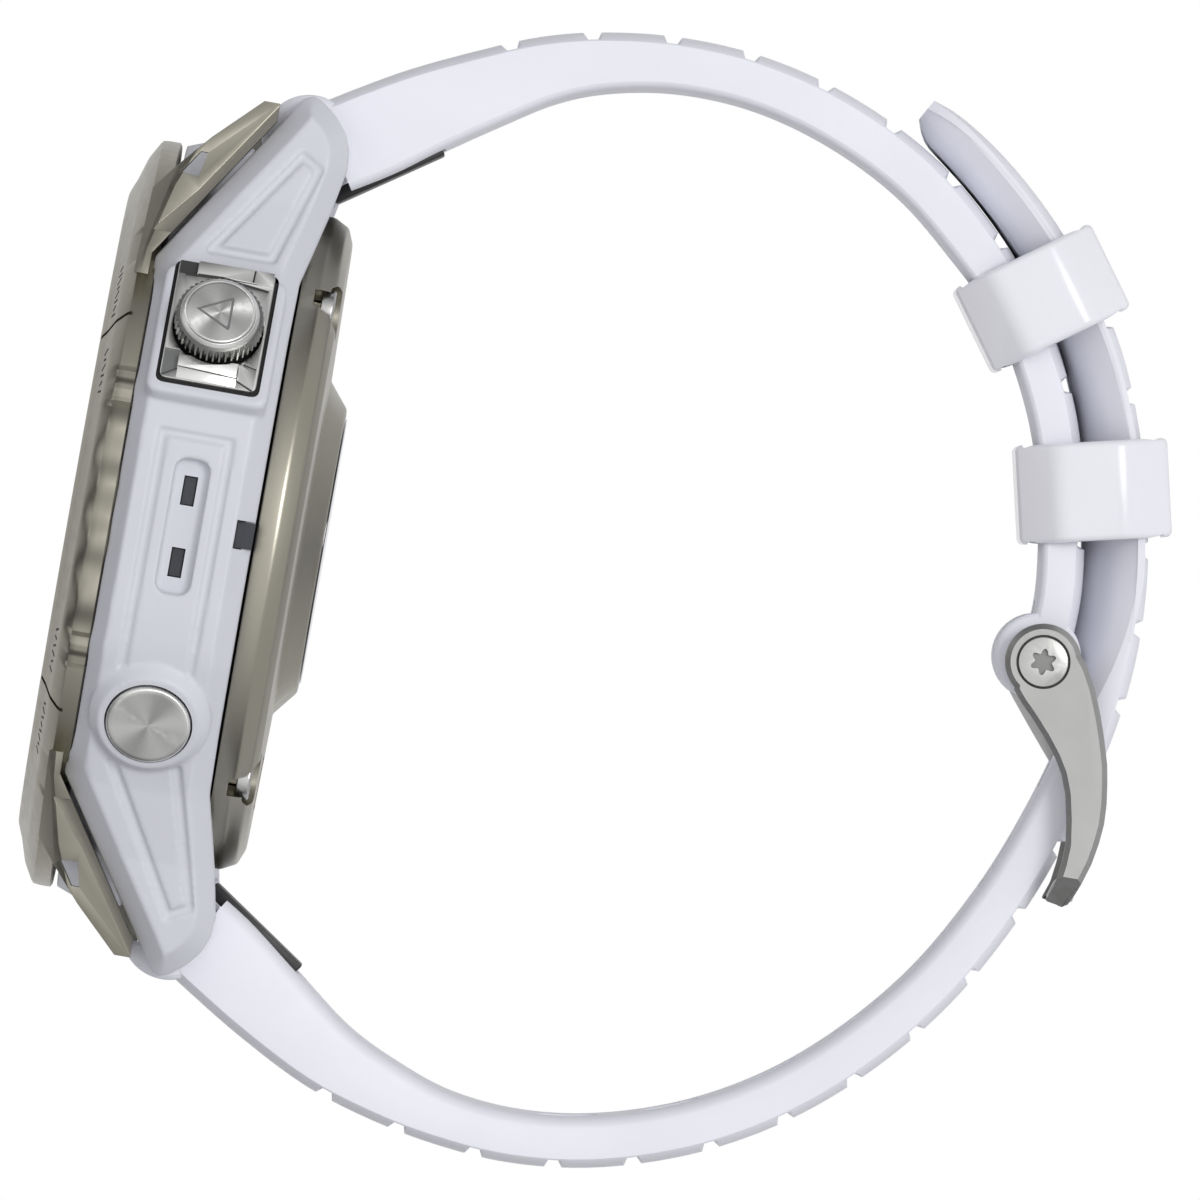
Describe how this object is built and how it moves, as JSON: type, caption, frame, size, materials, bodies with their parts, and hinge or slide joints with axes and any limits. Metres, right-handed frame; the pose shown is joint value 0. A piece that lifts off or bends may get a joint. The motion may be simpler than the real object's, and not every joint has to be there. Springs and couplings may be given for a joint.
{
  "type": "gps running watch",
  "caption": "GPS running watch with a white polymer case, metal bezel, lug struts and rear cover, side buttons, and a silicone band buckled into a loop.",
  "frame": {"origin": "on the dial axis, at the flat back of the sensor bump, where the watch rests on the wrist", "axes": "+Z out of the dial, +Y to 12 o'clock, +X to 3 o'clock"},
  "size_m": [0.0458, 0.0632, 0.0603],
  "materials": {
    "white_polymer": "fine satin moulding, white with a cool cast",
    "white_silicone": "matte silicone, white with a cool cast",
    "gloss_white": "glossy moulded white",
    "bezel_titanium": "titanium, soft gold tint, fine brushed",
    "cover_titanium": "titanium, soft gold tint, brushed",
    "steel": "brushed stainless steel",
    "button_steel": "radially brushed stainless steel",
    "buckle_steel": "bead blasted stainless steel",
    "lens_glass": "polished sapphire",
    "sensor_glass": "polished black glass",
    "display_black": "black display",
    "dial_ring_plastic": "satin black",
    "dark_plastic": "satin black",
    "latch_plastic": "satin dark grey",
    "port_mesh": "dark woven membrane",
    "black_rubber": "matte black",
    "circuit_board": "green solder mask",
    "battery_foil": "satin foil",
    "gold_plate": "gold plated"
  },
  "bodies": {
    "case": {"case_body": "white_polymer", "port_screen_upper": "port_mesh", "port_screen_lower": "port_mesh", "port_screen_rear": "port_mesh", "bezel": "bezel_titanium", "display_lens": "lens_glass", "lens_gasket": "black_rubber", "dial_ring": "dial_ring_plastic", "display_panel": "display_black", "chassis": "dark_plastic", "main_board": "circuit_board", "battery": "battery_foil", "vibration_motor": "steel", "pressure_sensor": "steel", "gps_antenna": "gold_plate", "sensor_board": "circuit_board", "rear_cover": "cover_titanium", "rear_gasket": "black_rubber", "sensor_window": "sensor_glass", "charge_socket": "dark_plastic", "start_guard": "steel", "lug_pin_12": "steel", "lug_pin_6": "steel", "rear_screw_1": "steel", "charge_contact_1": "gold_plate", "rear_screw_2": "steel", "charge_contact_2": "gold_plate", "rear_screw_3": "steel", "charge_contact_3": "gold_plate", "rear_screw_4": "steel", "charge_contact_4": "gold_plate", "start_seal": "black_rubber", "start_switch": "dark_plastic", "back_seal": "black_rubber", "back_switch": "dark_plastic", "light_seal": "black_rubber", "light_switch": "dark_plastic", "up_seal": "black_rubber", "up_switch": "dark_plastic", "down_seal": "black_rubber", "down_switch": "dark_plastic"},
    "start": {"start_button": "button_steel"},
    "back": {"back_button": "button_steel"},
    "light": {"light_button": "button_steel"},
    "up": {"up_button": "button_steel"},
    "down": {"down_button": "button_steel"},
    "band": {"strap_12": "white_silicone", "strap_6": "white_silicone", "buckle_bar": "buckle_steel", "buckle_screw_right": "buckle_steel", "buckle_screw_left": "buckle_steel"},
    "frame": {"buckle_frame": "buckle_steel"},
    "tongue": {"buckle_tongue": "buckle_steel"},
    "keeper_upper": {"keeper_upper": "gloss_white"},
    "keeper_lower": {"keeper_lower": "gloss_white"},
    "latch_12": {"latch_12": "latch_plastic"},
    "latch_6": {"latch_6": "latch_plastic"}
  },
  "joints": [
    {"name": "start_press", "type": "slide", "parent": "case", "child": "start", "axis": [-0.8746, -0.4848, 0], "range_m": [0, 0.0006], "stiffness_N_per_m": 900, "springref_m": -0.0003},
    {"name": "back_press", "type": "slide", "parent": "case", "child": "back", "axis": [-0.8746, 0.4848, 0], "range_m": [0, 0.0006], "stiffness_N_per_m": 900, "springref_m": -0.0003},
    {"name": "light_press", "type": "slide", "parent": "case", "child": "light", "axis": [0.8746, -0.4848, 0], "range_m": [0, 0.0006], "stiffness_N_per_m": 900, "springref_m": -0.0003},
    {"name": "up_press", "type": "slide", "parent": "case", "child": "up", "axis": [1, 0, 0], "range_m": [0, 0.0006], "stiffness_N_per_m": 900, "springref_m": -0.0003},
    {"name": "down_press", "type": "slide", "parent": "case", "child": "down", "axis": [0.8746, 0.4848, 0], "range_m": [0, 0.0006], "stiffness_N_per_m": 900, "springref_m": -0.0003},
    {"name": "band_swing", "type": "hinge", "parent": "case", "child": "band", "pos_m": [0, 0.0222, 0.0047], "axis": [1, 0, 0], "range_deg": [0, 35]},
    {"name": "frame_play", "type": "hinge", "parent": "band", "child": "frame", "pos_m": [0, 0.0009, -0.04033], "axis": [1, 0, 0], "range_deg": [-1.5, 1.5]},
    {"name": "tongue_play", "type": "hinge", "parent": "band", "child": "tongue", "pos_m": [0, 0.0009, -0.04033], "axis": [1, 0, 0], "range_deg": [-1.5, 1.5]},
    {"name": "keeper_upper_slide", "type": "hinge", "parent": "band", "child": "keeper_upper", "pos_m": [0, 0.00922, -0.02095], "axis": [1, 0, 0], "range_deg": [-5.7, 5.7]},
    {"name": "keeper_lower_slide", "type": "hinge", "parent": "band", "child": "keeper_lower", "pos_m": [0, 0.00551, -0.01211], "axis": [1, 0, 0], "range_deg": [-3.8, 3.8]},
    {"name": "latch_12_slide", "type": "slide", "parent": "band", "child": "latch_12", "axis": [0, -0.6053, 0.796], "range_m": [0, 0.0009]},
    {"name": "latch_6_slide", "type": "slide", "parent": "band", "child": "latch_6", "axis": [0, 0.6053, 0.796], "range_m": [0, 0.0009]}
  ]
}
